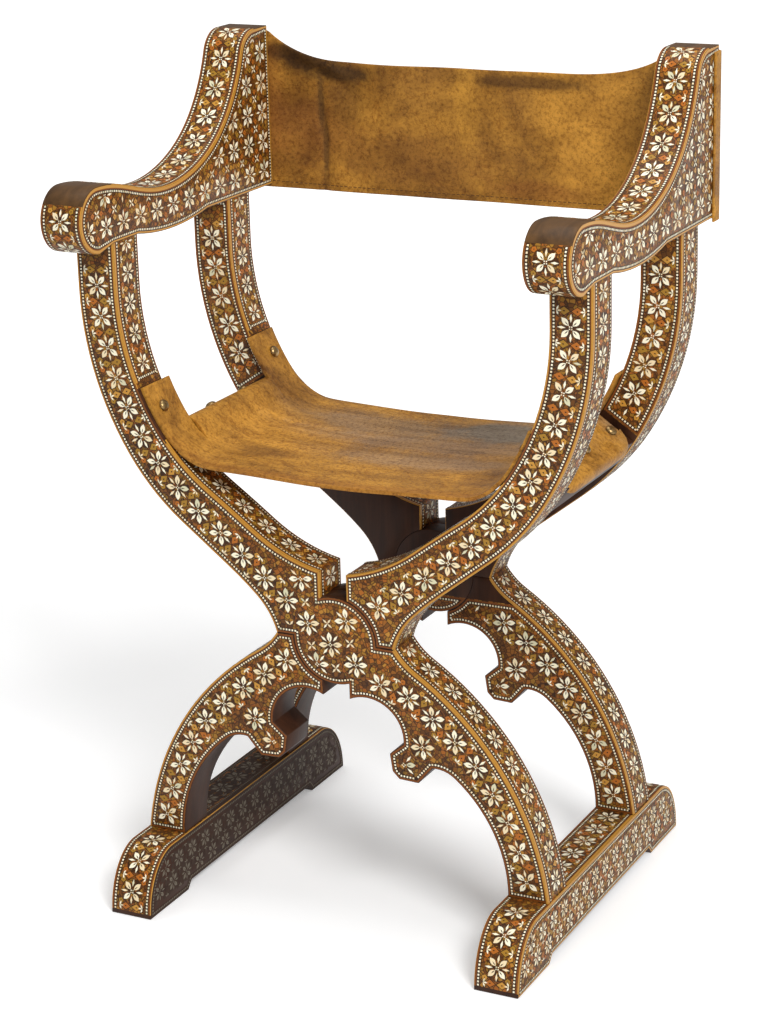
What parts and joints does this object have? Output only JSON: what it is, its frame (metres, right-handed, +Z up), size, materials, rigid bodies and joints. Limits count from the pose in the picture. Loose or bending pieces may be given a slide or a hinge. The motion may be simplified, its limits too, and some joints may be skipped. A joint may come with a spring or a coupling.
{
  "type": "folding x-frame armchair",
  "caption": "Folding X-frame armchair of inlaid wood with curved legs on two sled runners, scrolled arms, leather sling seat and leather back strap.",
  "frame": {"origin": "on the floor, midway between the runners and midway between their front and rear ends", "axes": "+Z up, +X to the right as seen from the front, -Y towards the front of the chair, +Y towards the back"},
  "size_m": [0.6108, 0.47, 0.938],
  "materials": {
    "inlaid_walnut": "polished",
    "pin_wood": "plain",
    "leather": "worn",
    "brass": "antique"
  },
  "bodies": {
    "frame_b": {"front_leg_b": "inlaid_walnut", "rear_leg_b": "inlaid_walnut", "right_arm": "inlaid_walnut", "right_seat_rail": "inlaid_walnut", "left_runner": "inlaid_walnut", "right_seat_nails": "brass", "right_back_nails": "brass", "front_pivot_pin": "pin_wood", "rear_pivot_pin": "pin_wood", "seat_leather": "leather", "back_leather": "leather"},
    "frame_a": {"front_leg_a": "inlaid_walnut", "rear_leg_a": "inlaid_walnut", "left_arm": "inlaid_walnut", "left_seat_rail": "inlaid_walnut", "right_runner": "inlaid_walnut", "left_seat_nails": "brass", "left_back_nails": "brass"}
  },
  "joints": [
    {"name": "fold", "type": "hinge", "parent": "frame_b", "child": "frame_a", "pos_m": [0, 0, 0.334], "axis": [0, 1, 0], "range_deg": [0, 23], "deforming": ["seat_leather", "back_leather"]}
  ]
}
